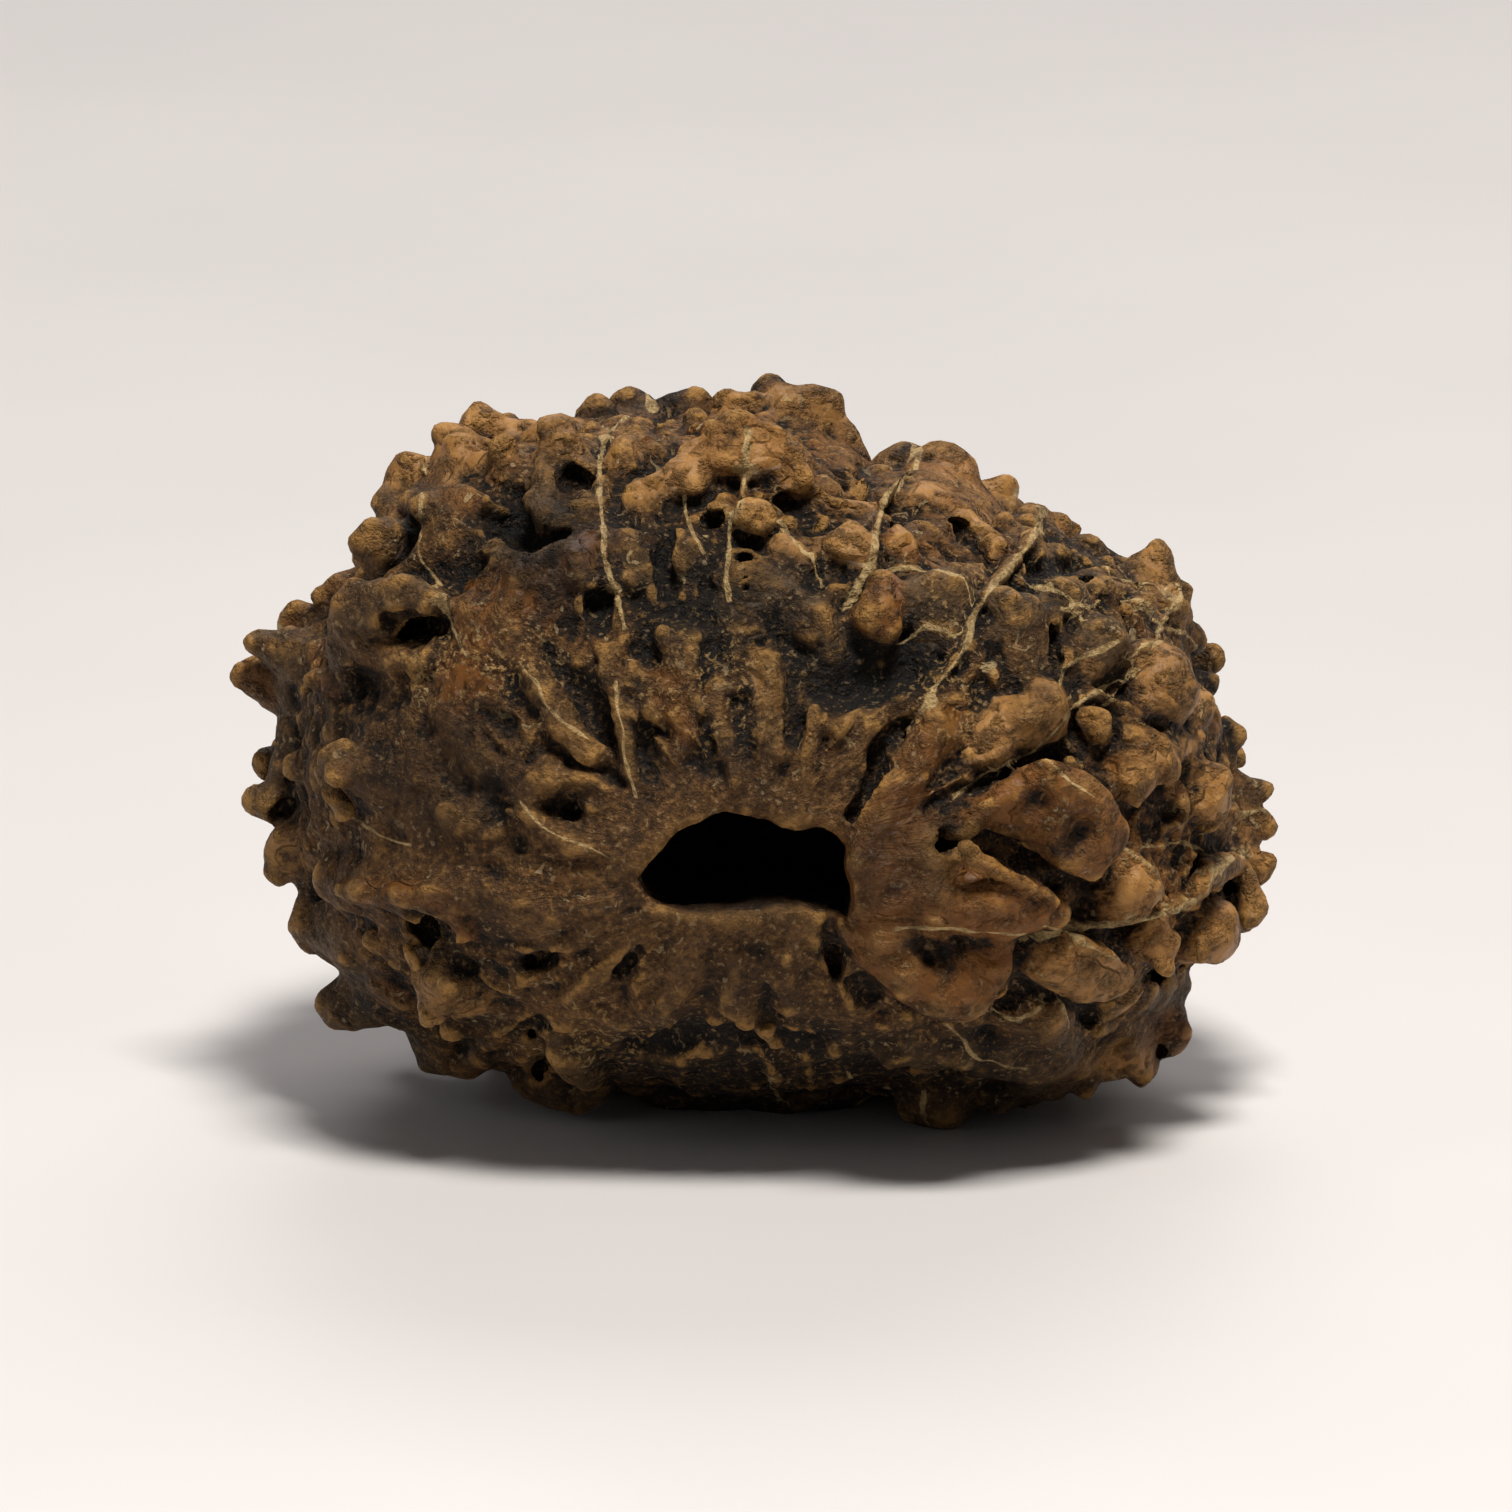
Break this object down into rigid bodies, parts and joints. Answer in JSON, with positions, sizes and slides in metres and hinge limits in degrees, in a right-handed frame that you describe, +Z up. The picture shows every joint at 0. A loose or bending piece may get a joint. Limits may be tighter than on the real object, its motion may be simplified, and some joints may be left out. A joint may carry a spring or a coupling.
{
  "type": "rudraksha bead",
  "caption": "Large oval rudraksha bead with knobbed relief, pale seams between its faces and a wide stringing hole, lying on a small flat spot.",
  "frame": {"origin": "middle of the footprint of the bead's box, on the surface that it rests on", "axes": "+X along the bead's width, +Y along the stringing hole from its wide mouth to its small one, +Z up from the flat spot"},
  "size_m": [0.0318, 0.026, 0.0228],
  "materials": {
    "fruit_stone": "hard woody shell, worn satin knobs and matt sooty hollows"
  },
  "bodies": {
    "root": {"rudraksha_bead": "fruit_stone"}
  },
  "joints": []
}
